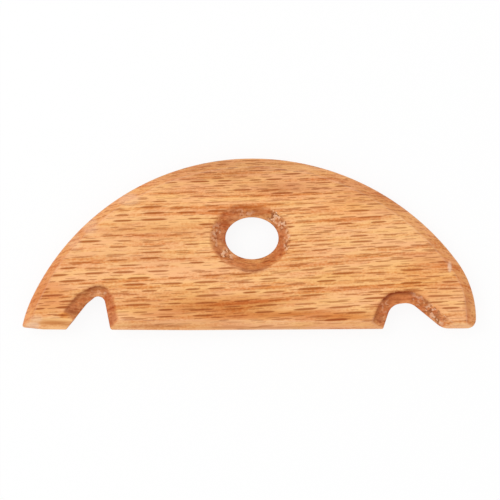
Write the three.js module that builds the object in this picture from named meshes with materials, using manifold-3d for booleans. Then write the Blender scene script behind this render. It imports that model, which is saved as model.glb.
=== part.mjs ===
// Throwing rib: one flat board of red oak, sawn to a half-moon, with a finger hole near its middle and
// notches in its straight edge for shaping feet and rims. All lengths are in millimetres.
//
// The outline is drawn flat: X runs along the grain from the toe (left) to the heel (right), with 0 at
// mid-length, and Y runs from the straight edge up to the crown. Z runs through the thickness, with 0
// halfway, because both faces are bevelled alike.

import * as THREE from 'three';
import { mergeVertices, toCreasedNormals } from 'three/addons/utils/BufferGeometryUtils.js';
import Module from 'manifold-3d';

const wasm = await Module();
wasm.setup();

// Board
const boardLength = 152.4;
const boardHeight = 57.7;
const boardThickness = 9.5;

// Domed back edge: two long arcs meet level at the crown, and each runs into a tighter one near its end.
// The heel's ends plumb, and the toe's ends this many degrees steeper than one single arc would.
const crownX = 1.0;
const heelCheekRadius = 32.5;
const toeCheekRadius = 44.0;
const toeCurl = 5.3;

// Straight edge: it is lowest a little left of the middle and lifts slightly towards both ends
const soleLowX = -20.0;
const heelLift = 0.6;
const toeLift = 0.25;
const toeRun = 6.2;
const toeTipLift = 0.9;

// Corners of the outline, eased by hand
const toeTipRadius = 0.8;
const heelRadius = 3.2;

// Bevels round the outline: widths across the face, and the height of the flat land left between them
const backBevelAtToe = 2.6;
const backBevelAtHeel = 3.5;
const soleBevelAtToe = 4.2;
const soleBevelAtHeel = 1.9;
const edgeLand = 2.5;

// Hooked notch near the toe: a long sloping flank, a soft shoulder and a steep far flank
const hookFromToe = 14.4;
const hookMouth = 15.2;
const hookFlankAngle = 51.3;
const hookTopRun = 5.49;
const hookTopAngle = 38.9;
const hookFarAngle = 78.9;
const hookShoulderRadius = 6.2;
const hookPeakRadius = 2.4;
const hookLipRadius = 0.4;
const hookFarLipRadius = 1.0;
const hookFlankBevel = 4.2;
const hookFarBevel = 3.5;

// On the toe's side its bevel runs out before the lip, to a shallow depth below the face
const hookRunOutFromLip = 4.2;
const hookRunOutLength = 2.6;
const hookRunOutDepth = 0.7;

// Round notch near the heel: a steep flank, a broad top and a long slope down to the heel
const roundFromHeel = 10.5;
const roundMouth = 20.9;
const roundFlankAngle = 71.8;
const roundTopRun = 6.65;
const roundTopAngle = 7.1;
const roundFarAngle = 39.2;
const roundShoulderRadius = 4.6;
const roundPeakRadius = 5.7;
const roundLipRadius = 0.5;
const roundFarLipRadius = 5.5;
const roundFlankBevel = 4.2;
const roundFarBevel = 3.9;

// Height of the flat land between the bevels inside a notch
const notchLand = 3.5;

// Oval finger hole: its mouth on each face is wider and sits a little off the opening's centre
const holeX = 0.9;
const holeBelowCrown = 26.8;
const holeWidth = 17.9;
const holeHeight = 14.1;
const holeBevel = 4.3;
const holeLand = 2.5;
const holeMouthShiftX = -0.7;
const holeMouthShiftY = 0.2;

// Cutters run past the wood by this much, and the sawn blank has this much spare round it
const cutterOverrun = 1.0;
const blankSpare = 20.0;

// Drawing steps
const arcStep = THREE.MathUtils.degToRad(2);
const filletStep = THREE.MathUtils.degToRad(9);
const holeSteps = 48;

// Faces that meet at less than this shade as one curve; the ridges between bevels stay crisp
const creaseAngle = THREE.MathUtils.degToRad(20);

const faceZ = boardThickness / 2;
const cutterZ = faceZ + cutterOverrun;

const oak = new THREE.MeshStandardMaterial({
  name: 'oiled red oak',
  color: '#dc955d',
  roughness: 0.55,
  metalness: 0,
});

function point(x, y) {
  return new THREE.Vector2(x, y);
}

function heading(vector) {
  return Math.atan2(vector.y, vector.x);
}

// Points along an arc, with both its ends
function arcPoints(centre, radius, from, to, step) {
  const count = Math.max(2, Math.ceil(Math.abs(to - from) / step));
  const points = [];
  for (let i = 0; i <= count; i += 1) {
    const angle = from + ((to - from) * i) / count;
    points.push(point(centre.x + radius * Math.cos(angle), centre.y + radius * Math.sin(angle)));
  }
  return points;
}

// Where two lines meet, each given by its unit normal and its distance from the origin along it
function meeting(normalA, normalB, distanceA, distanceB) {
  const slant = normalA.dot(normalB);
  const along = 1 - slant * slant;
  const partA = normalA.clone().multiplyScalar((distanceA - distanceB * slant) / along);
  const partB = normalB.clone().multiplyScalar((distanceB - distanceA * slant) / along);
  return partA.add(partB);
}

// How far a corner moves when both its edges move out by the same width
function mitre(normalA, normalB, width) {
  const sum = normalA.clone().add(normalB);
  return sum.multiplyScalar(width / (1 + normalA.dot(normalB)));
}

// Outward normal of the edge from a to b of an outline drawn anticlockwise
function edgeNormal(a, b) {
  return point(b.y - a.y, a.x - b.x).normalize();
}

// Normal, at the contact, of a straight run that leaves a point and touches a circle from below
function touchNormal(from, centre, radius, side) {
  const sight = centre.clone().sub(from);
  const run = heading(sight) - side * Math.asin(radius / sight.length());
  return point(side * Math.sin(run), -side * Math.cos(run));
}

// Radius of the arc that starts level at the crown and holds a smaller circle just inside it
function backRadius(centre, radius) {
  const across = centre.x - crownX;
  const below = boardHeight - centre.y;
  return (across * across + below * below - radius * radius) / (2 * (below - radius));
}

// The ring that an outline makes when each corner moves by its own bevel width, out for sign 1
// and in for sign -1
function widened(outline, sign) {
  return outline.map((corner, i) => {
    const previous = outline[(i + outline.length - 1) % outline.length];
    const next = outline[(i + 1) % outline.length];
    const before = edgeNormal(previous.at, corner.at);
    const after = edgeNormal(corner.at, next.at);
    return corner.at.clone().addScaledVector(mitre(before, after, corner.width), sign);
  });
}

function atHeight(points, z) {
  return points.map((p, i) => new THREE.Vector3(p.x, p.y, Array.isArray(z) ? z[i] : z));
}

// Closed solid through rings with the same number of points, listed from the lowest ring up
function loft(rings) {
  const count = rings[0].length;
  const top = (rings.length - 1) * count;
  const index = [];
  for (let low = 0; low < top; low += count) {
    for (let i = 0; i < count; i += 1) {
      const a = low + i;
      const b = low + ((i + 1) % count);
      index.push(a, b, b + count);
      index.push(a, b + count, a + count);
    }
  }
  for (const [a, b, c] of THREE.ShapeUtils.triangulateShape(rings[0], [])) {
    index.push(c, b, a);
  }
  for (const [a, b, c] of THREE.ShapeUtils.triangulateShape(rings[rings.length - 1], [])) {
    index.push(top + a, top + b, top + c);
  }
  const positions = rings.flat().flatMap((p) => [p.x, p.y, p.z]);
  const geometry = new THREE.BufferGeometry();
  geometry.setAttribute('position', new THREE.Float32BufferAttribute(positions, 3));
  geometry.setIndex(index);
  return geometry;
}

function toSolid(geometry) {
  const bare = geometry.clone();
  bare.deleteAttribute('normal');
  bare.deleteAttribute('uv');
  const merged = mergeVertices(bare);
  const vertProperties = new Float32Array(merged.attributes.position.array);
  const triVerts = new Uint32Array(merged.index.array);
  return new wasm.Manifold(new wasm.Mesh({ numProp: 3, vertProperties, triVerts }));
}

function toGeometry(solid) {
  const mesh = solid.getMesh();
  const geometry = new THREE.BufferGeometry();
  geometry.setAttribute('position', new THREE.BufferAttribute(mesh.vertProperties, 3));
  geometry.setIndex(new THREE.BufferAttribute(mesh.triVerts, 1));
  return toCreasedNormals(geometry, creaseAngle);
}

// Solid of a cutter: the opening itself between the lands, and a mouth that widens towards each face
function flaredCutter(opening, mouth, landZ) {
  return toSolid(loft([
    atHeight(mouth, -cutterZ),
    atHeight(mouth, -faceZ),
    atHeight(opening, landZ.map((z) => -z)),
    atHeight(opening, landZ),
    atHeight(mouth, faceZ),
    atHeight(mouth, cutterZ),
  ]));
}

// The circles that round the heel and the toe's tip, and the arcs and straight runs that touch them
const heelCentre = point(boardLength / 2 - heelRadius, heelLift + heelRadius);
const toeCentre = point(-boardLength / 2 + toeTipRadius, toeTipLift + toeTipRadius);

const plumb = point(1, 0);
const toeChord = point(crownX, boardHeight - toeTipRadius).sub(toeCentre);
const toeCheekRise = 2 * heading(toeChord) + THREE.MathUtils.degToRad(toeCurl);
const toeCheekNormal = point(-Math.sin(toeCheekRise), Math.cos(toeCheekRise));
const heelCheekCentre = heelCentre.clone().addScaledVector(plumb, heelRadius - heelCheekRadius);
const toeCheekCentre = toeCentre.clone().addScaledVector(toeCheekNormal, toeTipRadius - toeCheekRadius);

const heelBackRadius = backRadius(heelCheekCentre, heelCheekRadius);
const heelBackCentre = point(crownX, boardHeight - heelBackRadius);
const toeBackRadius = backRadius(toeCheekCentre, toeCheekRadius);
const toeBackCentre = point(crownX, boardHeight - toeBackRadius);

const soleLow = point(soleLowX, 0);
const toeStart = point(toeCentre.x + toeRun, toeLift);
const toeSoleNormal = edgeNormal(toeStart, soleLow);
const heelSoleNormal = touchNormal(soleLow, heelCentre, heelRadius, 1);
const toeUnderNormal = touchNormal(toeStart, toeCentre, toeTipRadius, -1);

const heelCorner = heelCentre.clone().add(mitre(heelSoleNormal, plumb, heelRadius));
const toeCorner = toeCentre.clone().add(mitre(toeCheekNormal, toeUnderNormal, toeTipRadius));

// Direction of travel along an edge of an anticlockwise outline
function alongEdge(normal) {
  return point(-normal.y, normal.x);
}

// The domed back, carried on straight past the sole at both ends
function domeOutline() {
  const crown = Math.PI / 2;
  const heelCheekTop = heading(heelCheekCentre.clone().sub(heelBackCentre));
  const toeCheekTop = heading(toeCheekCentre.clone().sub(toeBackCentre));
  const toeCheekEnd = heading(toeCheekNormal);
  const back = [
    ...arcPoints(heelCheekCentre, heelCheekRadius, 0, heelCheekTop, arcStep),
    ...arcPoints(heelBackCentre, heelBackRadius, heelCheekTop, crown, arcStep).slice(1),
    ...arcPoints(toeBackCentre, toeBackRadius, crown, toeCheekTop, arcStep).slice(1),
    ...arcPoints(toeCheekCentre, toeCheekRadius, toeCheekTop, toeCheekEnd, arcStep).slice(1),
  ];
  const bevel = (i) => THREE.MathUtils.lerp(backBevelAtHeel, backBevelAtToe, i / (back.length - 1));
  const heelEnd = heelCorner.clone().addScaledVector(alongEdge(plumb), -blankSpare);
  const toeEnd = toeCorner.clone().addScaledVector(alongEdge(toeCheekNormal), blankSpare);
  return [
    { at: heelEnd, width: backBevelAtHeel },
    ...back.map((at, i) => ({ at, width: bevel(i) })),
    { at: toeEnd, width: backBevelAtToe },
  ];
}

// The straight edge with spare wood beyond both ends and above the crown
function soleOutline() {
  const toeEnd = toeCorner.clone().addScaledVector(alongEdge(toeUnderNormal), -blankSpare);
  const heelEnd = heelCorner.clone().addScaledVector(alongEdge(heelSoleNormal), blankSpare);
  const top = boardHeight + blankSpare;
  const share = (x) => (x - toeCorner.x) / (heelCorner.x - toeCorner.x);
  const bevel = (x) => THREE.MathUtils.lerp(soleBevelAtToe, soleBevelAtHeel, share(x));
  const corners = [toeEnd, toeStart, soleLow, heelEnd, point(heelEnd.x, top), point(toeEnd.x, top)];
  return corners.map((at) => ({ at, width: bevel(at.x) }));
}

// A board whose edge is bevelled from both faces down to the land
function bevelled(outline) {
  const edge = outline.map((corner) => corner.at);
  const face = widened(outline, -1);
  return toSolid(loft([
    atHeight(face, -faceZ),
    atHeight(edge, -edgeLand / 2),
    atHeight(edge, edgeLand / 2),
    atHeight(face, faceZ),
  ]));
}

// Corner points of a closed outline with its corners rounded; each point keeps its corner's bevel
function rounded(corners) {
  return corners.flatMap((corner, i) => {
    if (!corner.radius) {
      return [corner];
    }
    const before = edgeNormal(corners[i - 1].at, corner.at);
    const after = edgeNormal(corner.at, corners[i + 1].at);
    const turn = Math.atan2(before.cross(after), before.dot(after));
    const radius = Math.sign(turn) * corner.radius;
    const centre = corner.at.clone().sub(mitre(before, after, radius));
    const start = heading(before);
    return arcPoints(centre, radius, start, start + turn, filletStep).map((at) => ({ ...corner, at }));
  });
}

// Flanks of a notch, from the angles at which they rise from the straight edge. The first flank is as
// long as the mouth, the top and the far flank leave it.
function notchShape({ lipX, farLipX, flankAngle, topAngle, farAngle, topRun }) {
  const flank = THREE.MathUtils.degToRad(flankAngle);
  const top = THREE.MathUtils.degToRad(topAngle);
  const far = THREE.MathUtils.degToRad(farAngle);
  const flankNormal = point(-Math.sin(flank), Math.cos(flank));
  const farNormal = point(Math.sin(far), Math.cos(far));
  const lip = point(lipX, 0);
  const farLip = point(farLipX, 0);
  const upFlank = point(Math.cos(flank), Math.sin(flank));
  const topSpan = point(topRun, topRun * Math.tan(top));
  const flankSpan = farLip.clone().sub(lip).sub(topSpan);
  const flankLength = flankSpan.dot(farNormal) / upFlank.dot(farNormal);
  const shoulder = lip.clone().addScaledVector(upFlank, flankLength);
  const peak = shoulder.clone().add(topSpan);
  return { lip, farLip, shoulder, peak, flank, far, upFlank, flankNormal, farNormal };
}

// A notch's cutter. The bevel of its first flank keeps its depth to the lip, or runs out before it.
function notchCutter(shape, { shoulderRadius, peakRadius, flankBevel, farBevel, runOut }) {
  const landZ = notchLand / 2;
  const lipLandZ = runOut ? faceZ - runOut.depth : landZ;
  const onFlank = (distance) => shape.lip.clone().addScaledVector(shape.upFlank, distance);
  const runOutCorners = runOut ? [
    { at: onFlank(runOut.fromLip + runOut.length), width: flankBevel, landZ },
    { at: onFlank(runOut.fromLip), width: flankBevel, landZ: lipLandZ },
  ] : [];
  const below = point(0, -cutterOverrun);
  const lipEnd = shape.lip.clone().add(below).add(point(-cutterOverrun / Math.tan(shape.flank), 0));
  const farEnd = shape.farLip.clone().add(below).add(point(cutterOverrun / Math.tan(shape.far), 0));
  const outline = rounded([
    { at: farEnd, width: farBevel, landZ },
    { at: shape.peak, radius: peakRadius, width: farBevel, landZ },
    { at: shape.shoulder, radius: shoulderRadius, width: flankBevel, landZ },
    ...runOutCorners,
    { at: lipEnd, width: flankBevel, landZ: lipLandZ },
  ]);
  const opening = outline.map((corner) => corner.at);
  return flaredCutter(opening, widened(outline, 1), outline.map((corner) => corner.landZ));
}

function fingerHoleCutter() {
  const centre = point(holeX, boardHeight - holeBelowCrown);
  const radii = point(holeWidth / 2, holeHeight / 2);
  const mouthCentre = point(centre.x + holeMouthShiftX, centre.y + holeMouthShiftY);
  const mouthRadii = point(radii.x + holeBevel, radii.y + holeBevel);
  const opening = [];
  const mouth = [];
  for (let i = 0; i < holeSteps; i += 1) {
    const angle = (2 * Math.PI * i) / holeSteps;
    const ray = point(Math.cos(angle), Math.sin(angle));
    opening.push(ray.clone().multiply(radii).add(centre));
    mouth.push(ray.clone().multiply(mouthRadii).add(mouthCentre));
  }
  return flaredCutter(opening, mouth, opening.map(() => holeLand / 2));
}

// Takes the corner between two edges off, down to a circle that touches both
function easingCutter(corner, normalBefore, normalAfter, radius) {
  const reach = mitre(normalBefore, normalAfter, radius);
  const centre = corner.clone().sub(reach);
  const start = heading(normalBefore);
  const end = start + Math.atan2(normalBefore.cross(normalAfter), normalBefore.dot(normalAfter));
  const outer = arcPoints(centre, reach.length() + cutterOverrun, start, end, filletStep);
  const inner = arcPoints(centre, radius, end, start, filletStep);
  const sector = [...outer, ...inner];
  return toSolid(loft([atHeight(sector, -cutterZ), atHeight(sector, cutterZ)]));
}

// Takes both lips of a notch off, where its flanks meet a straight run of the sole
function lipCutters(shape, soleNormal, lipRadius, farLipRadius) {
  const sole = soleLow.dot(soleNormal);
  const flankOut = shape.flankNormal.clone().negate();
  const farOut = shape.farNormal.clone().negate();
  const lip = meeting(soleNormal, flankOut, sole, shape.lip.dot(flankOut));
  const farLip = meeting(farOut, soleNormal, shape.farLip.dot(farOut), sole);
  return [
    easingCutter(lip, soleNormal, flankOut, lipRadius),
    easingCutter(farLip, farOut, soleNormal, farLipRadius),
  ];
}

function throwingRib() {
  const hookLipX = -boardLength / 2 + hookFromToe;
  const hook = notchShape({
    lipX: hookLipX,
    farLipX: hookLipX + hookMouth,
    flankAngle: hookFlankAngle,
    topAngle: hookTopAngle,
    farAngle: hookFarAngle,
    topRun: hookTopRun,
  });
  const roundFarLipX = boardLength / 2 - roundFromHeel;
  const round = notchShape({
    lipX: roundFarLipX - roundMouth,
    farLipX: roundFarLipX,
    flankAngle: roundFlankAngle,
    topAngle: roundTopAngle,
    farAngle: roundFarAngle,
    topRun: roundTopRun,
  });
  const cutters = [
    notchCutter(hook, {
      shoulderRadius: hookShoulderRadius,
      peakRadius: hookPeakRadius,
      flankBevel: hookFlankBevel,
      farBevel: hookFarBevel,
      runOut: { fromLip: hookRunOutFromLip, length: hookRunOutLength, depth: hookRunOutDepth },
    }),
    notchCutter(round, {
      shoulderRadius: roundShoulderRadius,
      peakRadius: roundPeakRadius,
      flankBevel: roundFlankBevel,
      farBevel: roundFarBevel,
    }),
    fingerHoleCutter(),
    easingCutter(heelCorner, heelSoleNormal, plumb, heelRadius),
    easingCutter(toeCorner, toeCheekNormal, toeUnderNormal, toeTipRadius),
    ...lipCutters(hook, toeSoleNormal, hookLipRadius, hookFarLipRadius),
    ...lipCutters(round, heelSoleNormal, roundLipRadius, roundFarLipRadius),
  ];
  const board = bevelled(domeOutline()).intersect(bevelled(soleOutline()));
  return cutters.reduce((solid, cutter) => solid.subtract(cutter), board);
}

// The rib lies on its back face, centred over the origin
const rib = new THREE.Mesh(toGeometry(throwingRib()), oak);
rib.name = 'rib_body';
rib.position.set(0, -boardHeight / 2, faceZ);

const model = new THREE.Group();
model.add(rib);

export default model;
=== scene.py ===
"""Throwing rib: a bevelled half-moon of red oak, built around its CAD body and set on a pale stage.

The file is laid out as an add-on and run as a script. Lengths are in metres, in the frame of the CAD
body: X along the straight edge and the grain, Y up to the crown of the dome, Z out of the front face.
"""

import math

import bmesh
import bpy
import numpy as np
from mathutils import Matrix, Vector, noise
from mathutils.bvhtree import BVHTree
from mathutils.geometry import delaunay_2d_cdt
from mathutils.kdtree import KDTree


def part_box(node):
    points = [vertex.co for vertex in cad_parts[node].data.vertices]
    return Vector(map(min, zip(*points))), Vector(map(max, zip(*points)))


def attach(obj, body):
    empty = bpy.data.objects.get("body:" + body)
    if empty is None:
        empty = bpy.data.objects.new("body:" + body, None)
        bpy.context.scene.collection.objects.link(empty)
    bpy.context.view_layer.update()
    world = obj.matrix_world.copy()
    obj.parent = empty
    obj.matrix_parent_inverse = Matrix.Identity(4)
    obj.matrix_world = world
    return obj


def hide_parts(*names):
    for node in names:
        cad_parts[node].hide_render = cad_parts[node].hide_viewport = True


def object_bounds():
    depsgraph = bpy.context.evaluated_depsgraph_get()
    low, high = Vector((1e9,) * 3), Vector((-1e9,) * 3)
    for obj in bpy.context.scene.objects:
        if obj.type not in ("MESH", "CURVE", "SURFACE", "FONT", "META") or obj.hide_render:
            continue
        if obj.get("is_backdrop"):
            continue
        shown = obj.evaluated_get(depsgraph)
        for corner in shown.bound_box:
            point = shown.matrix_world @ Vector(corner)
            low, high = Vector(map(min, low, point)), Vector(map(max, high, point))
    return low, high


bl_info = {
    "name": "Throwing Rib",
    "version": (1, 0, 0),
    "blender": (4, 5, 0),
    "location": "View3D > Sidebar > Throwing Rib",
    "description": "Builds a bevelled red oak throwing rib and the pale stage it lies on",
    "category": "Object",
}

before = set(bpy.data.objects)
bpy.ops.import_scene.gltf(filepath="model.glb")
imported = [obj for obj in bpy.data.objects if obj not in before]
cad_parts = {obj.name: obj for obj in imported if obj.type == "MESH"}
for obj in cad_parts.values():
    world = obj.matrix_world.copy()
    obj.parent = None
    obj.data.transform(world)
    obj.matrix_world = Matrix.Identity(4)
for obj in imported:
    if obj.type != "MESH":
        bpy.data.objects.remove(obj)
CAD_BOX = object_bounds()

MM = 0.001
BODY = "root"
NODE = "rib_body"
LOW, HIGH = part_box(NODE)
MIDDLE_Z = (LOW.z + HIGH.z) / 2

# A surface whose normal stands up more than this is the flat face, and less than this is the land
FLAT = 0.99
UPRIGHT = 0.05

# Two surfaces that turn by more than this meet in a ridge
RIDGE_TURN = math.radians(12)

# Corners of the CAD body that are closer than this are welded
WELD = 0.002 * MM

# A triangle is a mere hairline where twice its area is under the square of this
HAIRLINE = 0.01 * MM

# How far inside the outline the height of a rim is read
NUDGE = 0.02 * MM

# How far under each edge the land has its first row of points
EDGE_ROW = 0.35 * MM

# Where the straight edge and its bevel end, and where the notches and the finger hole are
SOLE_TOP = LOW.y + 0.9 * MM
SOLE_BEVEL_TOP = LOW.y + 5 * MM
NOTCH_TOP = -12 * MM
NOTCH_REACH = 69 * MM
HOLE_CENTRE = Vector((0.9, 2.0)) * MM
HOLE_REACH = 15 * MM

# How far a singed ridge's brown fades down its bevel, and how wide its darkest line is
SCORCH_REACH = 2.2 * MM
SCORCH_LINE = 1.5 * MM

# About how far below its ridge a routed bevel has taken on its full brown, and how far above the
# rim, on side grain, the last light cuts have bared it again
ROUTED_BORDER = 1.5 * MM
BARED_BORDER = 2.1 * MM

# How pale the sanding left a ridge, and how pale the rubbed places are
SANDED_RIDGE = 0.14
RUBBED_RIDGE = 0.8

# The front and the back have each their own hand-made wavers, out of one seeded field of them
WAVER_SEED = 1
FRONT_SEED, BACK_SEED = 3.7, 11.3

# What each point of the mesh carries for the oak's material
MARKS = ("ridge_wear", "torn_grain", "routed", "scorch")


def length(name, description, default, least=0.0):
    """A property for a length, given in metres."""
    return bpy.props.FloatProperty(
        name=name,
        description=description,
        default=default,
        min=least,
        unit="LENGTH",
        subtype="DISTANCE",
        precision=5,
    )


def angle(name, description, degrees):
    """A property for an angle, given in degrees."""
    return bpy.props.FloatProperty(
        name=name, description=description, default=math.radians(degrees), subtype="ANGLE"
    )


def linear(hex_colour):
    """RGBA in linear light from an sRGB hex value."""
    channels = [int(hex_colour[i : i + 2], 16) / 255 for i in (1, 3, 5)]
    curved = [c / 12.92 if c <= 0.04045 else ((c + 0.055) / 1.055) ** 2.4 for c in channels]
    return (*curved, 1.0)


def colour(name, description, hex_colour):
    """A property for a colour, given as an sRGB hex value."""
    return bpy.props.FloatVectorProperty(
        name=name,
        description=description,
        default=linear(hex_colour),
        size=4,
        min=0.0,
        max=1.0,
        subtype="COLOR",
    )


class BoardSettings(bpy.types.PropertyGroup):
    """How softly the board was sanded, and how finely its surface is built"""

    ridge_softness: length(
        "Ridge softness", "Radius over which sanding has rounded the ridges", 0.4 * MM, 0.05 * MM
    )
    edge_softness: length(
        "Edge softness", "What is taken off the edges of the flat land", 0.14 * MM, 0.05 * MM
    )
    sanding_wobble: length("Sanding wobble", "How far the hand-sanded ridges wander", 0.42 * MM)
    wobble_length: length("Wobble length", "From one waver of a ridge to the next", 9 * MM, MM)
    tear_depth: length("Tear depth", "How deep fibres were torn out of end grain", 0.3 * MM)
    tear_grain: length("Tear grain", "Width of a torn bundle of fibres", 0.8 * MM, 0.1 * MM)
    surface_step: length("Surface step", "Spacing of the mesh on the bevels", 0.45 * MM, 0.2 * MM)


def cad_body():
    """The CAD body, welded, and a tree to cast rays at it."""
    body = bmesh.new()
    body.from_mesh(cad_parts[NODE].data)
    bmesh.ops.remove_doubles(body, verts=body.verts, dist=WELD)
    body.normal_update()
    return body, BVHTree.FromBMesh(body)


def split_run(start, end, step):
    """Points from start up to, but not with, end, no further apart than a step."""
    count = max(1, math.ceil((end - start).length / step))
    return [start.lerp(end, i / count) for i in range(count)]


def rims(body, step):
    """The loops round the body at mid thickness, the outline first, as flat points anticlockwise."""
    cut = body.copy()
    found = bmesh.ops.bisect_plane(
        cut,
        geom=cut.verts[:] + cut.edges[:] + cut.faces[:],
        plane_co=(0, 0, MIDDLE_Z),
        plane_no=(0, 0, 1),
        dist=WELD / 4,
    )
    # A list, because a set of edges comes in another order each time
    edges = [e for e in found["geom_cut"] if isinstance(e, bmesh.types.BMEdge)]
    loops = []
    while edges:
        edge = edges.pop()
        first, vertex = edge.verts
        corners = [first.co.xy]
        while vertex != first:
            if (vertex.co.xy - corners[-1]).length > 0.1 * step:
                corners.append(vertex.co.xy)
            edge = next(e for e in vertex.link_edges if e in edges)
            edges.remove(edge)
            vertex = edge.other_vert(vertex)
        area = sum(a.cross(b) for a, b in zip(corners, corners[1:] + corners[:1]))
        if area < 0:
            corners.reverse()
        points = []
        for start, end in zip(corners, corners[1:] + corners[:1]):
            points += split_run(start, end, step)
        loops.append(points)
    cut.free()
    return sorted(loops, key=len, reverse=True)


def ridges(body, step):
    """Points along the ridges of the front half, each with its ridge's direction."""
    found = []
    for edge in body.edges:
        if min(v.co.z for v in edge.verts) < MIDDLE_Z or len(edge.link_faces) != 2:
            continue
        on_land = any(abs(face.normal.z) < UPRIGHT for face in edge.link_faces)
        if on_land or edge.calc_face_angle() < RIDGE_TURN:
            continue
        start, end = (v.co.xy for v in edge.verts)
        along = (end - start).normalized()
        found += [(p, along) for p in split_run(start, end, step)]
    return found


def inside(points, loops):
    """Which of the points lie within the first loop and outside the others."""
    x, y = np.array(points).T[:, :, None]
    within = np.zeros(len(points), bool)
    for loop in loops:
        a = np.array(loop)
        b = np.roll(a, -1, axis=0)
        rise = b[:, 1] - a[:, 1]
        run = (b[:, 0] - a[:, 0]) / np.where(rise == 0, 1, rise)
        crossed = ((a[:, 1] > y) != (b[:, 1] > y)) & (x < a[:, 0] + (y - a[:, 1]) * run)
        within ^= crossed.sum(1) % 2 == 1
    return within


def lattice(step):
    """Points of a triangular lattice over the body's box."""
    rise = step * math.sin(math.pi / 3)
    for j in range(math.ceil((HIGH.y - LOW.y) / rise)):
        for i in range(math.ceil((HIGH.x - LOW.x) / step)):
            yield Vector((LOW.x + (i + j % 2 / 2) * step, LOW.y + j * rise))


class Spread:
    """Flat points that keep a least distance from each other."""

    def __init__(self, cell):
        self.cell = cell
        self.cells = {}
        self.points = []

    def near(self, i, j):
        """Points in a cell and in the eight round it."""
        for u in (i - 1, i, i + 1):
            for v in (j - 1, j, j + 1):
                yield from self.cells.get((u, v), ())

    def add(self, p, gap):
        """Adds a point, unless one lies within the gap."""
        i, j = math.floor(p.x / self.cell), math.floor(p.y / self.cell)
        if gap == 0 or all((q - p).length_squared > gap * gap for q in self.near(i, j)):
            self.cells.setdefault((i, j), []).append(p)
            self.points.append(p)


def tree_of(points):
    """A tree that finds the nearest of some flat points."""
    tree = KDTree(len(points))
    for i, p in enumerate(points):
        tree.insert((p.x, p.y, 0), i)
    tree.balance()
    return tree


def distance(p, tree):
    """From a flat point to the nearest one of a tree."""
    return tree.find((p.x, p.y, 0))[2]


# Where the end grain was torn: centre and half size in millimetres, and how badly
TEARS = (
    ((63.0, -24.0), (6.0, 5.5), 0.75),
    ((57.5, -18.0), (4.5, 3.5), 0.35),
    ((45.5, -21.5), (2.0, 5.0), 0.3),
    ((-50.6, -16.4), (3.6, 1.4), 0.35),
    ((9.3, 8.0), (4.5, 4.5), 0.9),
    ((13.0, 1.0), (1.8, 5.0), 0.65),
    ((-2.0, 10.6), (4.0, 1.6), 0.35),
    ((-7.6, -3.4), (3.0, 2.6), 0.9),
    ((-10.8, 3.0), (2.4, 5.0), 0.45),
)

# Where the cutter stood still and singed the ridge: centre and half size, and how badly
SCORCHES = (
    ((-52.4, -14.2), (6.5, 3.0), 0.92),
    ((-58.5, -19.0), (6.0, 6.0), 0.7),
    ((-6.0, 10.0), (10.0, 7.0), 0.2),
    ((1.5, -8.0), (6.5, 3.0), 0.65),
    ((49.0, -16.5), (9.5, 4.0), 1.1),
    ((42.5, -22.0), (3.0, 5.5), 0.65),
    ((58.0, -18.0), (4.5, 4.0), 0.5),
)

# Where the ridges were rubbed pale: centre and half size, and how much
RUBS = (
    ((67.0, -7.6), (0.8, 2.2), 0.7),
    ((-40.5, 15.0), (4.5, 2.6), 0.25),
    ((-53.6, 6.3), (3.2, 3.6), 0.22),
    ((-58.5, 0.8), (2.8, 3.4), 0.2),
    ((-72.8, -27.0), (2.8, 1.6), 0.4),
    ((-71.5, -24.7), (2.6, 1.4), 0.3),
)


def marked(p, zones):
    """How strongly a flat point lies in the zones, fading over the outer part of each."""
    most = 0.0
    for (x, y), (half_x, half_y), strength in zones:
        away = math.hypot((p.x / MM - x) / half_x, (p.y / MM - y) / half_y)
        most = max(most, strength * min(1.0, 2.5 * (1.0 - away)))
    return most


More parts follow.
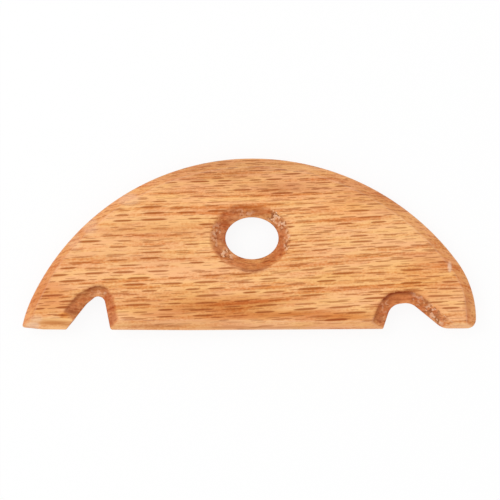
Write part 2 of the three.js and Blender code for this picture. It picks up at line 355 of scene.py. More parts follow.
class Face:
    """The flat layout of one face of the board, and the heights that the CAD body gives it."""

    def __init__(self, settings):
        self.settings = settings
        self.step = settings.surface_step
        body, self.tree = cad_body()
        self.loops = rims(body, self.step)
        self.ridges = ridges(body, self.step)
        body.free()
        rim = [p for loop in self.loops for p in loop]
        ridge = [p for p, _ in self.ridges]
        self.rim_count = len(rim)
        self.rim = tree_of(rim)
        self.ridge = tree_of(ridge)
        self.edges = tree_of(rim + ridge)
        self.inward = [n for loop in self.loops for n in self.inward_normals(loop)]
        self.points = self.lay_points(rim)
        self.triangles = self.join_points()

    def inward_normals(self, loop):
        """Directions from a loop's points into the wood."""
        side = 1 if loop is self.loops[0] else -1
        for before, after in zip(loop[-1:] + loop[:-1], loop[1:] + loop[:1]):
            yield side * Vector((before.y - after.y, after.x - before.x)).normalized()

    def hit(self, p):
        """Height and normal of the CAD body's front side at a flat point, or None beside it."""
        start = Vector((p.x, p.y, HIGH.z + MM))
        place, normal, _, _ = self.tree.ray_cast(start, Vector((0, 0, -1)))
        if place is None or place.z < MIDDLE_Z:
            return None
        return place.z, normal

    def height(self, p):
        """Height averaged over the ridge softness. Opposite samples pair up, so slopes stay true."""
        heights = [self.hit(p)[0]]
        for share, spokes in ((0.5, 3), (1.0, 6)):
            for i in range(spokes):
                turn = math.pi * (i + share) / spokes
                reach = share * self.settings.ridge_softness * Vector((math.cos(turn), math.sin(turn)))
                pair = self.hit(p + reach), self.hit(p - reach)
                if None not in pair:
                    heights += [pair[0][0], pair[1][0]]
        return sum(heights) / len(heights)

    def lay_points(self, rim):
        """The rims, a row just inside them, rows along the ridges, and a lattice over the rest.

        Each kind keeps a least gap, which is a share of the step or of the softness that it shows.
        """
        settings = self.settings
        spread = Spread(self.step)
        for p in rim:
            spread.add(p, 0)
        for p, inward in zip(rim, self.inward):
            spread.add(p + inward * settings.edge_softness, 0.6 * settings.edge_softness)
        for row in (0, 0.5, -0.5, 1, -1):
            for p, along in self.ridges:
                across = Vector((-along.y, along.x)) * row * settings.ridge_softness
                if self.hit(p + across):
                    spread.add(p + across, 0.45 * settings.ridge_softness)
        # Twice as close where the grain is torn
        for p in lattice(0.5 * self.step):
            hit = self.hit(p)
            if hit and hit[1].z < FLAT and marked(p, TEARS) > 0:
                spread.add(p, 0.4 * self.step)
        for p in lattice(self.step):
            hit = self.hit(p)
            if hit and (hit[1].z < FLAT or distance(p, self.edges) < 3 * self.step):
                spread.add(p, 0.7 * self.step)
        for scale in (2, 4, 8):
            self.fill_flat(spread, scale)
        kept = inside(spread.points, self.loops)
        kept[: self.rim_count] = True
        return [p for p, keep in zip(spread.points, kept) if keep]

    def fill_flat(self, spread, scale):
        """A coarser lattice over the flat of the face, further from the ridges."""
        spacing = scale * self.step
        for p in lattice(spacing):
            away = distance(p, self.edges)
            if 1.5 * spacing < away and (away < 3.2 * spacing or scale == 8) and self.hit(p):
                spread.add(p, 0.7 * self.step)

    def join_points(self):
        """Triangles over the points and within the rims, anticlockwise from the front."""
        edges = []
        for loop in self.loops:
            first = len(edges)
            edges += [(first + i, first + (i + 1) % len(loop)) for i in range(len(loop))]
        places, _, triangles, sources, _, _ = delaunay_2d_cdt(self.points, edges, [], 0, 1e-8)
        centres = [sum((places[v] for v in t), Vector((0, 0))) / 3 for t in triangles]
        joined = []
        for triangle, keep in zip(triangles, inside(centres, self.loops)):
            if not keep:
                continue
            a, b, c = (sources[v][0] for v in triangle)
            turn = (self.points[b] - self.points[a]).cross(self.points[c] - self.points[a])
            # Three points along one straight rim span nothing but a hairline beside it
            if max(a, b, c) < self.rim_count and abs(turn) < HAIRLINE * HAIRLINE:
                continue
            joined.append((a, b, c) if turn > 0 else (a, c, b))
        return joined

    def rim_height(self, i):
        """Height at which a rim point's land ends: the body's, read just inside the outline."""
        nudge = self.inward[i] * NUDGE
        hit = self.hit(self.points[i] + nudge) or self.hit(self.points[i] + 3 * nudge)
        return hit[0]

    def by_opening(self, p):
        """Whether the rim nearest to a point is a notch's or the finger hole's."""
        rim = self.rim.find((p.x, p.y, 0))[0]
        in_notch = SOLE_TOP < rim.y < NOTCH_TOP and abs(rim.x) < NOTCH_REACH
        return in_notch or (rim.xy - HOLE_CENTRE).length < HOLE_REACH

    def routed(self, p, normal):
        """How brown the cutter rubbed a point: 1 on its bevels, 0 at their ridges and on the face.

        On side grain the brown fades out again towards the rim.
        """
        on_sole_bevel = normal.xy.normalized().y < -FLAT and p.y < SOLE_BEVEL_TOP
        if normal.z > FLAT or on_sole_bevel or not self.by_opening(p):
            return 0.0
        # Both of its borders waver
        waver = noise.noise((p.x / ROUTED_BORDER, p.y / ROUTED_BORDER, 0))
        browned = (1.5 + 0.9 * waver) * distance(p, self.ridge) / ROUTED_BORDER
        side_grain = 1 - abs(normal.xy.normalized().x)
        bared = max(0.0, 1 - distance(p, self.rim) / BARED_BORDER) * (1 + waver)
        return min(1.0, browned) * (1 - min(1.0, side_grain * bared))

    def scorch(self, p, normal):
        """How singed a point is: most on the ridge, fading slowly down the bevel, fast on the face."""
        away = distance(p, self.ridge)
        if normal.z < FLAT:
            line = min(1.0, 1.6 * max(0.0, 1 - away / SCORCH_LINE))
            smear = max(0.0, 1 - away / SCORCH_REACH)
        else:
            line = max(0.0, 1 - away / (0.5 * SCORCH_LINE))
            smear = 0.0
        return marked(p, SCORCHES) * (0.6 * line + 0.4 * smear)

    def surface(self, seed):
        """Flat place, height and marks of each point, for a face with its own hand-made wavers."""
        for i, p in enumerate(self.points):
            if i < self.rim_count:
                within = p + self.inward[i] * self.step
                marks = (0.0, 0.0, self.routed(within, self.hit(within)[1]), 0.0)
                yield p, self.rim_height(i) - 0.5 * self.settings.edge_softness, marks
            else:
                yield self.inner_point(p, seed)

    def inner_point(self, p, seed):
        """Flat place, height and marks of a point within the rims."""
        settings = self.settings
        away = distance(p, self.rim)
        sharp, normal = self.hit(p)
        soft = self.height(p)
        # The first row inside a rim is eased with the edge instead
        if away < 1.5 * settings.edge_softness:
            soft = sharp - 0.25 * settings.edge_softness
        # How much of a ridge the sanding took, 0 to 1
        lowered = min(1.0, max(0.0, (sharp - soft) / (0.2 * settings.ridge_softness)))
        on_face = normal.z > FLAT and lowered < 0.3
        tear = 0.0 if on_face else marked(p, TEARS) * min(1.0, away / (2 * self.step))
        sanded = 0.0 if self.by_opening(p) else SANDED_RIDGE * lowered
        wear = max(sanded, RUBBED_RIDGE * marked(p, RUBS))
        marks = (wear, tear, self.routed(p, normal), self.scorch(p, normal))
        moved = p + min(1.0, away / (3 * self.step)) * wobble(p, settings, seed)
        return moved, soft - tear_depth(p, settings, seed) * tear, marks


def wobble(p, settings, seed):
    """How far hand sanding has moved the surface sideways at a flat point."""
    place = Vector((p.x, p.y, 0)) / settings.wobble_length + Vector((0, 0, seed))
    return noise.noise_vector(place).xy * settings.sanding_wobble


def tear_depth(p, settings, seed):
    """Depth to which torn bundles of fibres are missing at a flat point."""
    place = Vector((p.x, p.y, 0)) / settings.tear_grain + Vector((0, 0, seed))
    rough = noise.fractal(place, 0.6, 2.2, 3)
    return settings.tear_depth * (0.5 + rough)


class RIB_OT_board(bpy.types.Operator):
    """Builds the board: both faces with their sanded bevels and torn end grain, and the land"""

    bl_idname = "rib.board"
    bl_label = "Board"

    def execute(self, context):
        # Unseeded, the field would start from the clock
        noise.seed_set(WAVER_SEED)
        face = Face(context.scene.rib_board)
        places, marks, faces, starts = [], [], [], []
        for side, seed in ((1, FRONT_SEED), (-1, BACK_SEED)):
            start = len(places)
            starts.append(start)
            for p, z, point_marks in face.surface(seed):
                places.append((p.x, p.y, MIDDLE_Z + side * (z - MIDDLE_Z)))
                marks.append(point_marks)
            faces += [tuple(start + v for v in t[::side]) for t in face.triangles]
        faces += self.land(face, places, marks, *starts)

        mesh = bpy.data.meshes.new("rib")
        mesh.from_pydata(places, [], faces)
        mesh.validate()
        mesh.shade_smooth()
        for name, values in zip(MARKS, zip(*marks)):
            mesh.attributes.new(name, "FLOAT", "POINT").data.foreach_set("value", values)
        mesh.materials.append(oiled_red_oak(context.scene.rib_oak))
        rib = bpy.data.objects.new("rib", mesh)
        context.scene.collection.objects.link(rib)
        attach(rib, BODY)
        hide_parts(NODE)
        return {"FINISHED"}

    def land(self, face, places, marks, front, back):
        """Adds the land's rows, close under each edge and at mid thickness, and joins rim to rim."""
        rows = [front]
        for share, drop in ((1, EDGE_ROW), (0, 0), (-1, -EDGE_ROW)):
            rows.append(len(places))
            for i in range(front, front + face.rim_count):
                x, y, z = places[i]
                places.append((x, y, MIDDLE_Z + share * (z - MIDDLE_Z) - drop))
                marks.append(marks[i])
        rows.append(back)
        quads = []
        first = 0
        for loop in face.loops:
            count = len(loop)
            outward = 1 if loop is face.loops[0] else -1
            for upper, lower in zip(rows, rows[1:]):
                for i in range(count):
                    a, b = first + i, first + (i + 1) % count
                    quads.append((upper + a, lower + a, lower + b, upper + b)[::outward])
            first += count
        return quads


class OakSettings(bpy.types.PropertyGroup):
    """Colours and grain of the oak"""

    wood: colour("Wood", "The lighter wood between the vessels", "#FCC98F")
    fibre: colour("Fibre", "The darker fibres that streak it", "#DF904E")
    yellow: colour("Yellow", "Tint of the yellower streaks", "#FEF6E6")
    pink: colour("Pink", "Tint of the pinker streaks", "#FCECEB")
    vessel: colour("Vessel", "Oil and shade in the vessels that the surface cuts open", "#A44C08")
    end_grain: colour("End grain", "What sanded end grain takes from the colour", "#EEDACA")
    routed: colour("Routed", "What the cutter's rubbing takes from the colour of side grain", "#EED7C0")
    routed_end: colour("Routed end", "What it takes from the colour of end grain", "#E3C0B4")
    scorched: colour("Scorched", "Where the cutter stood still and singed a ridge", "#883408")
    worn: colour("Worn", "The pale line along a sanded ridge", "#F8D8BE")
    torn_light: colour("Torn light", "Crushed pale fibres in torn end grain", "#FAD0AC")
    torn_dark: colour("Torn dark", "The crevices between them", "#8A4C2A")
    ring_width: length("Ring width", "From one year's row of vessels to the next", 2.15 * MM, 0.1 * MM)
    vessel_pitch: length("Vessel pitch", "From vessel to vessel along a row", 11.5 * MM, MM)
    vessel_length: length("Vessel length", "How long the longest opened vessels are", 11 * MM, 0.1 * MM)
    vessel_width: length(
        "Vessel width", "How wide the widest opened vessels are drawn", 1.22 * MM, 0.01 * MM
    )
    grain_tilt: angle("Grain tilt", "How much the grain rises towards the heel", 2.8)
    ring_lean: angle("Ring lean", "How far the rings lean from square to the face", 19.0)


# How far the grain wanders, and over about what span of wood: in millimetres along it, across the
# rings and into the board
WANDER = (0.0, 2.0, 1.5)
WANDER_SPAN = (80, 25, 30)

# Broad figure of the board: centre and half size in millimetres, tint of the wood, and its strength
FIGURE = (
    ((-20.0, 26.0), (50.0, 4.5), "#D2B8A8", 0.5),
    ((13.0, 19.0), (14.0, 2.0), "#C89B7A", 0.3),
    ((0.0, 15.5), (60.0, 3.0), "#FFF4DC", 0.3),
    ((32.0, 11.5), (9.0, 3.0), "#FFE9B0", 0.36),
    ((-32.0, 4.5), (24.0, 3.5), "#D9A98A", 0.3),
    ((-38.0, -4.5), (24.0, 3.0), "#E6DADA", 0.24),
    ((26.0, -11.0), (10.0, 3.0), "#F4E8B8", 0.3),
    ((49.0, -10.0), (19.0, 5.5), "#FFF4D4", 0.25),
    ((60.0, -4.5), (10.0, 2.0), "#D89A68", 0.3),
    ((-13.0, -19.8), (36.0, 4.8), "#E6CCA6", 0.75),
    ((-9.0, -20.6), (22.0, 2.4), "#DDB884", 0.4),
    ((-67.0, -17.5), (9.0, 6.5), "#EBCBB6", 0.8),
    ((60.0, -13.0), (12.0, 8.0), "#F8E8CC", 0.4),
    ((73.0, -20.5), (1.5, 6.0), "#C8A090", 0.35),
    ((0.0, 27.5), (46.0, 2.5), "#E2CDBE", 0.25),
    ((5.0, 20.5), (45.0, 4.5), "#EBD2C4", 0.45),
    ((-62.0, -23.6), (2.2, 1.4), "#F4D498", 0.8),
    ((42.0, 17.0), (16.0, 5.0), "#E4CCBE", 0.5),
    ((49.5, 12.8), (9.0, 3.0), "#E4C8B6", 0.5),
    ((-33.0, -27.4), (18.0, 0.7), "#CFB09A", 0.5),
    ((0.0, -27.9), (22.0, 0.7), "#CFB09A", 0.6),
    ((-66.0, -26.3), (8.0, 1.2), "#C89460", 0.75),
    ((-20.0, -27.0), (32.0, 2.2), "#F2E2D6", 0.5),
    ((52.0, -20.5), (11.0, 4.6), "#E8B490", 0.65),
    ((-5.0, -23.6), (26.0, 1.6), "#E0B689", 0.7),
    ((29.0, -24.0), (16.0, 1.8), "#E0B689", 0.9),
    ((35.0, -27.0), (24.0, 2.5), "#F0D8CC", 0.5),
    ((2.0, -6.0), (6.0, 2.4), "#E8CFA8", 0.45),
)

# A Mix node's sockets for two colours and their mixture, and its settings for laying the second
# over the first or multiplying them
FIRST, SECOND, MIXED = 6, 7, 2
OVER = {"data_type": "RGBA"}
TIMES = {"data_type": "RGBA", "blend_type": "MULTIPLY"}


def add_node(tree, kind, inputs=(), output=0, **settings):
    """Adds a node with its settings and its inputs, as values or links, and returns an output."""
    node = tree.nodes.new("ShaderNode" + kind)
    for name, value in settings.items():
        setattr(node, name, value)
    for socket, value in dict(inputs).items():
        if isinstance(value, bpy.types.NodeSocket):
            tree.links.new(value, node.inputs[socket])
        else:
            node.inputs[socket].default_value = value
    return node.outputs[output] if node.outputs else node


def grown_grain(tree, oak, place):
    """Millimetres along the grain, across the rings and into the board, and those across alone.

    They follow the grain's tilt and the rings' lean, and wander a little as the trunk grew.
    """
    scales = [1 / span for span in WANDER_SPAN]
    slow = add_node(tree, "VectorMath", {0: place, 1: scales}, operation="MULTIPLY")
    drift = add_node(tree, "TexNoise", {"Vector": slow, "Scale": 1.0, "Detail": 0.0}, "Color")
    bent = add_node(tree, "VectorMath", {0: drift, 1: WANDER, 2: place}, operation="MULTIPLY_ADD")
    across = (-math.tan(oak.grain_tilt), 1.0, -math.tan(oak.ring_lean))
    ring = add_node(tree, "VectorMath", {0: bent, 1: across}, "Value", operation="DOT_PRODUCT")
    # The tree grew more slowly towards the crown's side: its rings lie closer there, and its
    # vessels are shorter
    upward = add_node(tree, "SeparateXYZ", {0: place}, "Y")
    closer = add_node(
        tree,
        "MapRange",
        {"Value": upward, "From Min": 13.0, "From Max": 31.0, "To Min": 0.0, "To Max": 7.0},
    )
    ring = add_node(tree, "Math", {0: ring, 1: closer}, operation="ADD")
    shorter = add_node(
        tree,
        "MapRange",
        {"Value": upward, "From Min": 11.0, "From Max": 19.0, "To Min": 1.0, "To Max": 1.35},
    )
    parts = add_node(tree, "SeparateXYZ", {0: bent})
    along = add_node(tree, "Math", {0: parts, 1: shorter}, operation="MULTIPLY")
    inward = parts.node.outputs["Z"]
    return add_node(tree, "CombineXYZ", {"X": along, "Y": ring, "Z": inward}), ring


def fibres(tree, oak, grain, ring):
    """Colour of the wood between the vessels, its short streaks, and its layers of growth."""
    # Flecks, short streaks, layers of growth that also line the bevels, and wide bands, each drawn
    # out over so many millimetres along the grain, across the rings and into the board
    patterns = []
    for span in ((0.9, 0.6, 0.6), (8, 0.7, 0.7), (45, 0.9, 14), (40, 3.5, 6)):
        scales = [1 / s for s in span]
        drawn_out = add_node(tree, "VectorMath", {0: grain, 1: scales}, operation="MULTIPLY")
        pattern = add_node(tree, "TexNoise", {"Vector": drawn_out, "Scale": 1.0, "Detail": 2.0})
        patterns.append(pattern)
    flecks, streaks, layers, bands = patterns

    # The late wood between the rows of vessels is paler
    rings = add_node(tree, "Math", {0: ring, 1: MM / oak.ring_width}, operation="MULTIPLY")
    late = add_node(tree, "Math", {0: rings, 1: 0.5}, operation="PINGPONG")
    mingled = bands
    for pattern, weight in ((streaks, 0.42), (layers, 0.75), (flecks, 0.6), (late, -0.3)):
        mingled = add_node(tree, "Math", {0: pattern, 1: weight, 2: mingled}, operation="MULTIPLY_ADD")
    fibre = add_node(tree, "MapRange", {"Value": mingled, "From Min": 1.24, "From Max": 1.65})
    tone = add_node(tree, "Mix", {"Factor": fibre, FIRST: oak.wood, SECOND: oak.fibre}, MIXED, **OVER)

    # Yellower and pinker streaks, shifted off the others
    shift = (9, 9, 9)
    hue = add_node(
        tree, "VectorMath", {0: grain, 1: (1 / 14, 1 / 2, 1 / 4), 2: shift}, operation="MULTIPLY_ADD"
    )
    hue = add_node(tree, "TexNoise", {"Vector": hue, "Scale": 1.0, "Detail": 2.0})
    hue = add_node(tree, "MapRange", {"Value": hue, "From Min": 0.35, "From Max": 0.65})
    tint = add_node(tree, "Mix", {"Factor": hue, FIRST: oak.yellow, SECOND: oak.pink}, MIXED, **OVER)
    tone = add_node(tree, "Mix", {"Factor": 1.0, FIRST: tone, SECOND: tint}, MIXED, **TIMES)
    return tone, streaks, layers


def vessels(tree, grain, pitch, size, scatter, seed):
    """Vessels that the surface cuts open, as slim lenses in rows. Returns how open it is, 0 to 1.

    Pitch and size are in millimetres, along the grain, across the rings and into the board. Scatter
    is the share of the pitch by which they stray, across and into the board.
    """
    counts = [1 / p for p in pitch]
    cells = add_node(
        tree, "VectorMath", {0: grain, 1: counts, 2: (seed, seed, seed)}, operation="MULTIPLY_ADD"
    )
    # Each row starts at its own place along the grain
    row = add_node(tree, "VectorMath", {0: cells}, operation="FLOOR")
    row = add_node(tree, "VectorMath", {0: row, 1: (0, 1, 1)}, operation="MULTIPLY")
    start = add_node(tree, "TexWhiteNoise", {"Vector": row}, "Color")
    cells = add_node(tree, "VectorMath", {0: start, 1: (1, 0, 0), 2: cells}, operation="MULTIPLY_ADD")
    # Each vessel has its own length, and the short ones are slimmer
    cell = add_node(tree, "VectorMath", {0: cells}, operation="FLOOR")
    place = add_node(tree, "VectorMath", {0: cells}, operation="FRACTION")
    traits = add_node(
        tree, "TexWhiteNoise", {"Vector": cell, "W": 1.0}, "Color", noise_dimensions="4D"
    )
    traits = add_node(tree, "SeparateColor", {0: traits}).node.outputs
    half = [s / p / 2 for s, p in zip(size, pitch)]
    half_length, half_width = (
        add_node(tree, "MapRange", {"Value": traits["Green"], "To Min": least * full, "To Max": full})
        for least, full in zip((0.5, 0.7), half)
    )
    extent = add_node(tree, "CombineXYZ", {"X": half_length, "Y": half_width, "Z": half[2]})
    # It lies anywhere in the room that its cell leaves it
    room = add_node(tree, "Math", {0: half_length, 1: -2.0, 2: 1.0}, operation="MULTIPLY_ADD")
    room = add_node(tree, "CombineXYZ", {"X": room, "Y": scatter[0], "Z": scatter[1]})
    centre = (0.5, 0.5, 0.5)
    stray = add_node(tree, "TexWhiteNoise", {"Vector": cell}, "Color")
    stray = add_node(tree, "VectorMath", {0: stray, 1: centre}, operation="SUBTRACT")
    middle = add_node(tree, "VectorMath", {0: stray, 1: room, 2: centre}, operation="MULTIPLY_ADD")
    offset = add_node(tree, "VectorMath", {0: place, 1: middle}, operation="SUBTRACT")
    # Its outline is a lens with blunt ends, and its border is soft
    lens = add_node(tree, "VectorMath", {0: offset, 1: extent}, operation="DIVIDE")
    squared = add_node(tree, "VectorMath", {0: lens, 1: lens}, operation="MULTIPLY")
    ends = add_node(tree, "SeparateXYZ", {0: squared})
    sunk = ends.node.outputs["Z"]
    taper = add_node(tree, "Math", {0: ends, 1: ends, 2: sunk}, operation="MULTIPLY_ADD")
    side = add_node(tree, "SeparateXYZ", {0: lens}, "Y")
    side = add_node(tree, "Math", {0: side}, operation="ABSOLUTE")
    away = add_node(tree, "Math", {0: side, 1: taper}, operation="ADD")
    reach = add_node(tree, "MapRange", {"Value": traits["Red"], "To Min": 0.6, "To Max": 1.0})
    share = add_node(tree, "Math", {0: away, 1: reach}, operation="DIVIDE")
    core = add_node(
        tree,
        "MapRange",
        {"Value": share, "From Min": 0.35, "From Max": 1.0, "To Min": 1.0, "To Max": 0.0},
        interpolation_type="SMOOTHSTEP",
    )
    depth = add_node(tree, "MapRange", {"Value": traits["Red"], "To Min": 0.45, "To Max": 0.86})
    return add_node(tree, "Math", {0: core, 1: depth}, operation="MULTIPLY")


def opened_vessels(tree, oak, grain, facing, end_on):
    """How open vessels make the surface, 0 to 1.

    The wide ones of early wood lie in a row to each ring, and smaller ones are scattered round them.
    Real ones are about 0.4 mm wide, too fine to show in the render, so they are drawn up to 1.2 mm
    wide, most of it their soft border.
    """
    ring_width = oak.ring_width / MM
    long, wide = oak.vessel_length / MM, oak.vessel_width / MM
    opened = 0.0
    for pitch, size, scatter, seed, strength in (
        ((oak.vessel_pitch / MM, ring_width, 0.9), (long, wide, 1.5), (0.45, 0.4), 17.3, 1.0),
        ((7.5, ring_width / 2, 0.7), (0.65 * long, 0.5 * wide, 1.2), (0.45, 0.4), 13.84, 0.8),
        ((5.0, ring_width / 4, 0.5), (0.4 * long, 0.35 * wide, 0.8), (0.3, 0.4), 3.114, 0.18),
    ):
        layer = vessels(tree, grain, pitch, size, scatter, seed)
        layer = add_node(tree, "Math", {0: layer, 1: strength}, operation="MULTIPLY")
        opened = add_node(tree, "Math", {0: opened, 1: layer}, operation="MAXIMUM")
    # A slope that faces along the grain cuts them across, and the sole's bevel lies nearly in the
    # rings: on both few of them show
    down = add_node(tree, "Math", {0: facing["Y"], 1: -1.0}, operation="MULTIPLY")
    slope = add_node(tree, "Math", {0: end_on, 1: down}, operation="MAXIMUM")
    shown = add_node(
        tree,
        "MapRange",
        {"Value": slope, "From Min": 0.1, "From Max": 0.6, "To Min": 1.0, "To Max": 0.5},
    )
    return add_node(tree, "Math", {0: opened, 1: shown}, operation="MULTIPLY")


def figured(tree, tone, place, fringe):
    """The tone with the broad figure on it, whose borders the fringe makes ragged."""
    for centre, half, tint, strength in FIGURE:
        spot = add_node(tree, "VectorMath", {0: place, 1: (*centre, 0)}, operation="SUBTRACT")
        size = (1 / half[0], 1 / half[1], 0)
        spot = add_node(tree, "VectorMath", {0: spot, 1: size}, operation="MULTIPLY")
        away = add_node(tree, "VectorMath", {0: spot}, "Value", operation="LENGTH")
        away = add_node(tree, "Math", {0: away, 1: fringe}, operation="ADD")
        mask = add_node(
            tree,
            "MapRange",
            {"Value": away, "From Min": 1.3, "From Max": 2.3, "To Min": strength, "To Max": 0.0},
            interpolation_type="SMOOTHSTEP",
        )
        tone = add_node(tree, "Mix", {"Factor": mask, FIRST: tone, SECOND: linear(tint)}, MIXED, **TIMES)
    return tone


def worked(tree, oak, tone, place, end_on, border):
    """The tone with what the cutter and the sandpaper left, laid on by the mesh's marks."""
    marks = {name: add_node(tree, "Attribute", output="Fac", attribute_name=name) for name in MARKS}
    routed, torn = marks["routed"], marks["torn_grain"]

    # Sanded end grain drinks more oil and is darker
    end = add_node(tree, "MapRange", {"Value": end_on, "From Min": 0.05, "From Max": 0.6})
    sanded = add_node(tree, "Math", {0: 1.0, 1: routed}, operation="SUBTRACT")
    soaked = add_node(tree, "Math", {0: end, 1: sanded}, operation="MULTIPLY")
    tone = add_node(tree, "Mix", {"Factor": soaked, FIRST: tone, SECOND: oak.end_grain}, MIXED, **TIMES)

    # The cutter's rubbing has browned the openings, less where the grain tore
    brown = add_node(
        tree, "Mix", {"Factor": end, FIRST: oak.routed, SECOND: oak.routed_end}, MIXED, **OVER
    )
    untorn = add_node(tree, "MapRange", {"Value": torn, "To Min": 1.0, "To Max": 0.75})
    browned = add_node(tree, "Math", {0: routed, 1: untorn}, operation="MULTIPLY")
    tone = add_node(tree, "Mix", {"Factor": browned, FIRST: tone, SECOND: brown}, MIXED, **TIMES)

    # Singed ridges, with a border drawn out along the grain, and blotches over all that is browned
    blotched = add_node(
        tree, "TexNoise", {"Vector": place, "Scale": 0.45, "Detail": 5.0, "Roughness": 0.65}
    )
    blotched = add_node(tree, "MapRange", {"Value": blotched, "From Min": 0.38, "From Max": 0.62})
    blotches = add_node(tree, "Math", {0: blotched, 1: browned}, operation="MULTIPLY")
    blotches = add_node(tree, "Math", {0: blotches, 1: 0.45}, operation="MULTIPLY")
    ragged = add_node(tree, "Math", {0: border, 1: 2.0}, operation="MULTIPLY")
    singed = add_node(
        tree, "Math", {0: marks["scorch"], 1: ragged}, operation="MULTIPLY", use_clamp=True
    )
    singed = add_node(tree, "Math", {0: singed, 1: blotches}, operation="MAXIMUM")
    tone = add_node(tree, "Mix", {"Factor": singed, FIRST: tone, SECOND: oak.scorched}, MIXED, **OVER)

    # Ridges that sanding and use have rubbed pale
    worn = add_node(
        tree, "Math", {0: marks["ridge_wear"], 1: ragged}, operation="MULTIPLY", use_clamp=True
    )
    tone = add_node(tree, "Mix", {"Factor": worn, FIRST: tone, SECOND: oak.worn}, MIXED, **OVER)

    # Torn grain, in patches: pale crumbs of crushed fibre, and dark crevices
    shift = add_node(tree, "TexNoise", {"Vector": place, "Scale": 1.2, "Detail": 2.0}, "Color")
    crumpled = add_node(
        tree, "VectorMath", {0: shift, 1: (0.6, 0.6, 0.6), 2: place}, operation="MULTIPLY_ADD"
    )
    crumbs = add_node(tree, "TexVoronoi", {"Vector": crumpled, "Scale": 1.15}, "Color")
    crumbs = add_node(tree, "SeparateColor", {0: crumbs})
    patchy = add_node(tree, "MapRange", {"Value": blotched, "To Min": 0.4})
    crushed = add_node(tree, "Math", {0: torn, 1: patchy}, operation="MULTIPLY")
    for bare, full, shade in ((0.62, 0.76, oak.torn_light), (0.4, 0.2, oak.torn_dark)):
        crumb = add_node(tree, "MapRange", {"Value": crumbs, "From Min": bare, "From Max": full})
        crumb = add_node(tree, "Math", {0: crumb, 1: crushed}, operation="MULTIPLY")
        tone = add_node(tree, "Mix", {"Factor": crumb, FIRST: tone, SECOND: shade}, MIXED, **OVER)
    return tone


def oiled_red_oak(oak):
    """Red oak, sawn, routed, sanded and oiled.

    Its wide vessels, cut open lengthwise, dash the face in rows, and show as dots on end grain, which
    drinks more oil and is darker. The cutter has rubbed the openings brown and torn their end grain.
    """
    material = bpy.data.materials.new("oiled red oak")
    material.use_nodes = True
    tree = material.node_tree
    tree.nodes.clear()
    where = add_node(tree, "TexCoord", output="Object")
    place = add_node(tree, "VectorMath", {0: where, "Scale": 1 / MM}, operation="SCALE")
    facing = add_node(tree, "SeparateXYZ", {0: where.node.outputs["Normal"]}).node.outputs
    end_on = add_node(tree, "Math", {0: facing["X"]}, operation="ABSOLUTE")

    grain, ring = grown_grain(tree, oak, place)
    tone, streaks, layers = fibres(tree, oak, grain, ring)
    opened = opened_vessels(tree, oak, grain, facing, end_on)
    tone = add_node(tree, "Mix", {"Factor": opened, FIRST: tone, SECOND: oak.vessel}, MIXED, **OVER)

    # Borders of the figure and of what work left are ragged, and drawn out along the grain
    scales = (1 / 16, 1 / 2.5, 1 / 6)
    drawn_out = add_node(tree, "VectorMath", {0: grain, 1: scales}, operation="MULTIPLY")
    border = add_node(tree, "TexNoise", {"Vector": drawn_out, "Scale": 1.0, "Detail": 3.0})
    fringe = add_node(tree, "Math", {0: border, 1: layers}, operation="ADD")
    tone = figured(tree, tone, place, fringe)
    tone = worked(tree, oak, tone, place, end_on, border)

    # Opened vessels sink in and are matt, and fibres stand a little proud. The oil has sunk into the
    # wood and leaves only a faint satin gloss
    relief = add_node(tree, "Math", {0: streaks, 1: 0.25}, operation="MULTIPLY")
    relief = add_node(tree, "Math", {0: relief, 1: opened}, operation="SUBTRACT")
    bump = add_node(tree, "Bump", {"Height": relief, "Strength": 0.7, "Distance": 0.2 * MM})
    roughness = add_node(tree, "MapRange", {"Value": opened, "To Min": 0.5, "To Max": 0.8})
    shader = add_node(
        tree,
        "BsdfPrincipled",
        {"Base Color": tone, "Roughness": roughness, "Normal": bump, "Specular IOR Level": 0.12},
    )
    add_node(tree, "OutputMaterial", {"Surface": shader})
    return material


class StageSettings(bpy.types.PropertyGroup):
    """Floor, lamps and camera"""

    floor: colour("Floor", "Colour of the pale floor", "#FAFAFA")
    sky: bpy.props.FloatProperty(
        name="Sky", description="Strength of the even light all round", default=0.84, min=0.0
    )
    lamp_power: bpy.props.FloatProperty(
        name="Lamp power", description="Power of the soft lamp", default=2.75, min=0.0, unit="POWER"
    )
    lamp_size: length("Lamp size", "Side of the soft lamp", 0.6, 0.01)
    frame_width: length("Frame width", "Width that the camera sees at mid thickness", 0.16826, 0.01)
    lens: bpy.props.FloatProperty(
        name="Lens", description="Focal length in millimetres", default=200.0, min=1.0
    )


# How far the floor reaches each way, where the lamp hangs, and what the camera looks straight down on
FLOOR_REACH = 2.0
LAMP_PLACE = Vector((-0.55, 0.3, 0.85))
VIEW_CENTRE = Vector((0.24, -1.9)) * MM

# How much of the seen floor is plain white. The rest is lit, and carries the rib's shadow
PLAIN_WHITE = 0.9


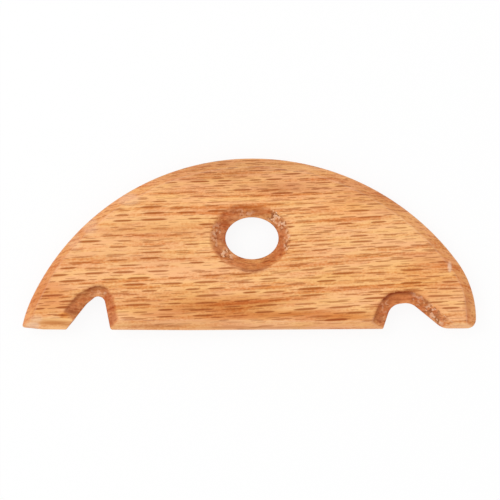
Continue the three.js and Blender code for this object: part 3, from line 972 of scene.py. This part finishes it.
class RIB_OT_stage(bpy.types.Operator):
    """Sets the pale floor, the even sky, one soft lamp and the camera over the rib"""

    bl_idname = "rib.stage"
    bl_label = "Stage"

    def execute(self, context):
        stage = context.scene.rib_stage
        self.lay_floor(context, stage)
        self.light(context, stage)
        self.aim_camera(context, stage)
        context.scene.view_settings.view_transform = "Standard"
        return {"FINISHED"}

    def lay_floor(self, context, stage):
        """Lays a white board under the rib."""
        mesh = bpy.data.meshes.new("floor")
        near, far = -FLOOR_REACH, FLOOR_REACH
        corners = [(x, y, LOW.z) for x, y in ((near, near), (far, near), (far, far), (near, far))]
        mesh.from_pydata(corners, [], [(0, 1, 2, 3)])
        mesh.materials.append(matt_white_board(stage))
        floor = bpy.data.objects.new("floor", mesh)
        context.scene.collection.objects.link(floor)
        floor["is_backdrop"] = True

    def light(self, context, stage):
        """Lights the rib evenly from all round, and softly from the upper left."""
        world = bpy.data.worlds.new("studio")
        context.scene.world = world
        world.use_nodes = True
        tree = world.node_tree
        tree.nodes.clear()
        shown = clear_view(tree)
        strength = add_node(tree, "MapRange", {"Value": shown, "To Min": stage.sky, "To Max": 1.0})
        sky = add_node(tree, "Background", {"Color": (1, 1, 1, 1), "Strength": strength})
        add_node(tree, "OutputWorld", {"Surface": sky})

        lamp = bpy.data.lights.new("soft lamp", "AREA")
        lamp.energy = stage.lamp_power
        lamp.size = stage.lamp_size
        holder = bpy.data.objects.new("soft lamp", lamp)
        holder.location = LAMP_PLACE
        aim = Vector((0, 0, MIDDLE_Z)) - LAMP_PLACE
        holder.rotation_euler = aim.to_track_quat("-Z", "Y").to_euler()
        context.scene.collection.objects.link(holder)

    def aim_camera(self, context, stage):
        """Hangs the camera over the rib, looking straight down."""
        camera = bpy.data.cameras.new("camera")
        camera.lens = stage.lens
        holder = bpy.data.objects.new("camera", camera)
        away = stage.frame_width * camera.lens / camera.sensor_width
        holder.location = (*VIEW_CENTRE, MIDDLE_Z + away)
        context.scene.collection.objects.link(holder)
        context.scene.camera = holder


def clear_view(tree):
    """1 for rays that the camera sees, straight, in gloss or through glass, and 0 for light."""
    rays = add_node(tree, "LightPath").node.outputs
    seen = rays["Is Camera Ray"]
    for ray in ("Is Glossy Ray", "Is Transmission Ray"):
        seen = add_node(tree, "Math", {0: seen, 1: rays[ray]}, operation="MAXIMUM")
    return seen


def matt_white_board(stage):
    """White-painted board: matt and even. Seen, it is nearly all plain white, with a faint shadow."""
    material = bpy.data.materials.new("matt white board")
    material.use_nodes = True
    tree = material.node_tree
    tree.nodes.clear()
    paint = add_node(tree, "BsdfDiffuse", {"Color": stage.floor})
    white = add_node(tree, "Emission", {"Color": (1, 1, 1, 1), "Strength": 1.0})
    shown = add_node(tree, "Math", {0: clear_view(tree), 1: PLAIN_WHITE}, operation="MULTIPLY")
    mix = add_node(tree, "MixShader", {0: shown, 1: paint, 2: white})
    add_node(tree, "OutputMaterial", {"Surface": mix})
    return material


class RIB_PT_panel(bpy.types.Panel):
    """Lists the steps that build the throwing rib"""

    bl_idname = "RIB_PT_panel"
    bl_label = "Throwing Rib"
    bl_space_type = "VIEW_3D"
    bl_region_type = "UI"
    bl_category = "Throwing Rib"

    def draw(self, context):
        scene = context.scene
        for operator, settings in (
            (RIB_OT_board, scene.rib_board),
            (None, scene.rib_oak),
            (RIB_OT_stage, scene.rib_stage),
        ):
            box = self.layout.box()
            if operator:
                box.operator(operator.bl_idname)
            for name in settings.__annotations__:
                box.prop(settings, name)


CLASSES = (BoardSettings, OakSettings, StageSettings, RIB_OT_board, RIB_OT_stage, RIB_PT_panel)


def register():
    for cls in CLASSES:
        bpy.utils.register_class(cls)
    bpy.types.Scene.rib_board = bpy.props.PointerProperty(type=BoardSettings)
    bpy.types.Scene.rib_oak = bpy.props.PointerProperty(type=OakSettings)
    bpy.types.Scene.rib_stage = bpy.props.PointerProperty(type=StageSettings)


def unregister():
    del bpy.types.Scene.rib_stage
    del bpy.types.Scene.rib_oak
    del bpy.types.Scene.rib_board
    for cls in reversed(CLASSES):
        bpy.utils.unregister_class(cls)


def main():
    """Builds the rib and its stage."""
    register()
    bpy.ops.rib.board()
    bpy.ops.rib.stage()
    boxes = {"cad": CAD_BOX, "visual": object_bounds()}
    {name: [list(corner) for corner in box] for name, box in boxes.items()}


if __name__ == "__main__":
    main()
